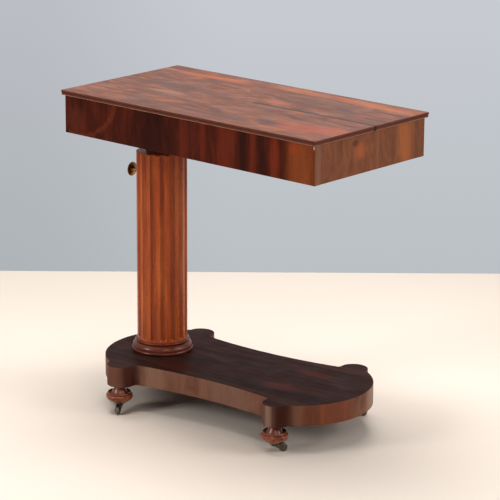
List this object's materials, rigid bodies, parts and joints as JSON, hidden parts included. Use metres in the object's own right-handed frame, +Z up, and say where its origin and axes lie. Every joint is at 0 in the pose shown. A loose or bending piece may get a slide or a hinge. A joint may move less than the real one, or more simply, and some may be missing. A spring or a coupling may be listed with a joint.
{
  "type": "adjustable bed table",
  "caption": "Bed table with a boxed top that swivels on a rising post in a fluted column, on a waisted platform with turned feet and casters.",
  "frame": {"origin": "on the floor under the middle of the top", "axes": "+X along the platform from the column's end to the free end, +Z up, the front of the picture towards -Y"},
  "size_m": [0.8118, 0.4644, 0.773],
  "materials": {
    "mahogany_top": "waxed, worn pale",
    "mahogany_veneer": "polished veneer",
    "mahogany_solid": "french polish",
    "mahogany_turned": "french polish",
    "dark_post": "waxed",
    "pine": "bare",
    "iron": "blackened",
    "brass": "tarnished",
    "caster_brass": "tarnished",
    "steel": "turned",
    "spring_steel": "drawn wire",
    "bronze": "dark patina",
    "leather": "plain"
  },
  "bodies": {
    "base": {"platform": "mahogany_solid", "column": "mahogany_solid", "column_moulding": "mahogany_solid", "tie_bolt": "iron", "tie_washer": "iron", "tie_nut": "iron", "post_buffer": "leather", "catch_barrel": "brass", "catch_plate": "brass", "catch_plate_screws": "brass", "catch_spring": "spring_steel", "foot_front_left": "mahogany_turned", "foot_front_right": "mahogany_turned", "foot_rear_right": "mahogany_turned", "foot_rear_left": "mahogany_turned", "caster_cup_front_left": "caster_brass", "caster_cup_front_right": "caster_brass", "caster_cup_rear_right": "caster_brass", "caster_cup_rear_left": "caster_brass"},
    "catch": {"catch_bolt": "steel", "catch_knob": "bronze"},
    "post": {"post": "dark_post", "post_cap_plate": "iron", "cap_plate_screws": "iron", "pivot_bolt": "iron", "pivot_washer": "iron"},
    "top": {"top_board_front": "mahogany_top", "top_board_rear": "mahogany_top", "apron_front": "mahogany_veneer", "apron_rear": "mahogany_veneer", "apron_left": "mahogany_veneer", "apron_right": "mahogany_veneer", "pivot_bearer": "pine", "end_bearer": "pine", "corner_block_front_left": "pine", "corner_block_front_right": "pine", "corner_block_rear_left": "pine", "corner_block_rear_right": "pine", "top_screws": "iron", "wear_plate": "iron", "wear_plate_screws": "iron", "pivot_bush": "brass"},
    "horn_front_left": {"caster_horn_front_left": "caster_brass", "caster_axle_front_left": "steel"},
    "wheel_front_left": {"caster_wheel_front_left": "caster_brass"},
    "horn_front_right": {"caster_horn_front_right": "caster_brass", "caster_axle_front_right": "steel"},
    "wheel_front_right": {"caster_wheel_front_right": "caster_brass"},
    "horn_rear_right": {"caster_horn_rear_right": "caster_brass", "caster_axle_rear_right": "steel"},
    "wheel_rear_right": {"caster_wheel_rear_right": "caster_brass"},
    "horn_rear_left": {"caster_horn_rear_left": "caster_brass", "caster_axle_rear_left": "steel"},
    "wheel_rear_left": {"caster_wheel_rear_left": "caster_brass"}
  },
  "joints": [
    {"name": "post_lift", "type": "slide", "parent": "base", "child": "post", "axis": [0, 0, 1], "range_m": [0, 0.224]},
    {"name": "top_swivel", "type": "hinge", "parent": "post", "child": "top", "pos_m": [-0.25403, 0.02222, 0.7145], "axis": [0, 0, 1], "continuous": true},
    {"name": "catch_pull", "type": "slide", "parent": "base", "child": "catch", "axis": [-1, 0, 0], "range_m": [0, 0.003], "stiffness_N_per_m": 500, "springref_m": -0.008, "deforming": ["catch_spring"]},
    {"name": "caster_swivel_front_left", "type": "hinge", "parent": "base", "child": "horn_front_left", "pos_m": [-0.25603, -0.14078, 0.019], "axis": [0, 0, 1], "continuous": true},
    {"name": "caster_roll_front_left", "type": "hinge", "parent": "horn_front_left", "child": "wheel_front_left", "pos_m": [-0.24617, -0.15932, 0.0104], "axis": [-0.8829, -0.4695, 0], "continuous": true},
    {"name": "caster_swivel_front_right", "type": "hinge", "parent": "base", "child": "horn_front_right", "pos_m": [0.20397, -0.14078, 0.019], "axis": [0, 0, 1], "continuous": true},
    {"name": "caster_roll_front_right", "type": "hinge", "parent": "horn_front_right", "child": "wheel_front_right", "pos_m": [0.21541, -0.12316, 0.0104], "axis": [0.8387, -0.5446, 0], "continuous": true},
    {"name": "caster_swivel_rear_right", "type": "hinge", "parent": "base", "child": "horn_rear_right", "pos_m": [0.20397, 0.18522, 0.019], "axis": [0, 0, 1], "continuous": true},
    {"name": "caster_roll_rear_right", "type": "hinge", "parent": "horn_rear_right", "child": "wheel_rear_right", "pos_m": [0.22425, 0.19066, 0.0104], "axis": [0.2588, -0.9659, 0], "continuous": true},
    {"name": "caster_swivel_rear_left", "type": "hinge", "parent": "base", "child": "horn_rear_left", "pos_m": [-0.25603, 0.18522, 0.019], "axis": [0, 0, 1], "continuous": true},
    {"name": "caster_roll_rear_left", "type": "hinge", "parent": "horn_rear_left", "child": "wheel_rear_left", "pos_m": [-0.27576, 0.19241, 0.0104], "axis": [0.342, 0.9397, 0], "continuous": true}
  ]
}
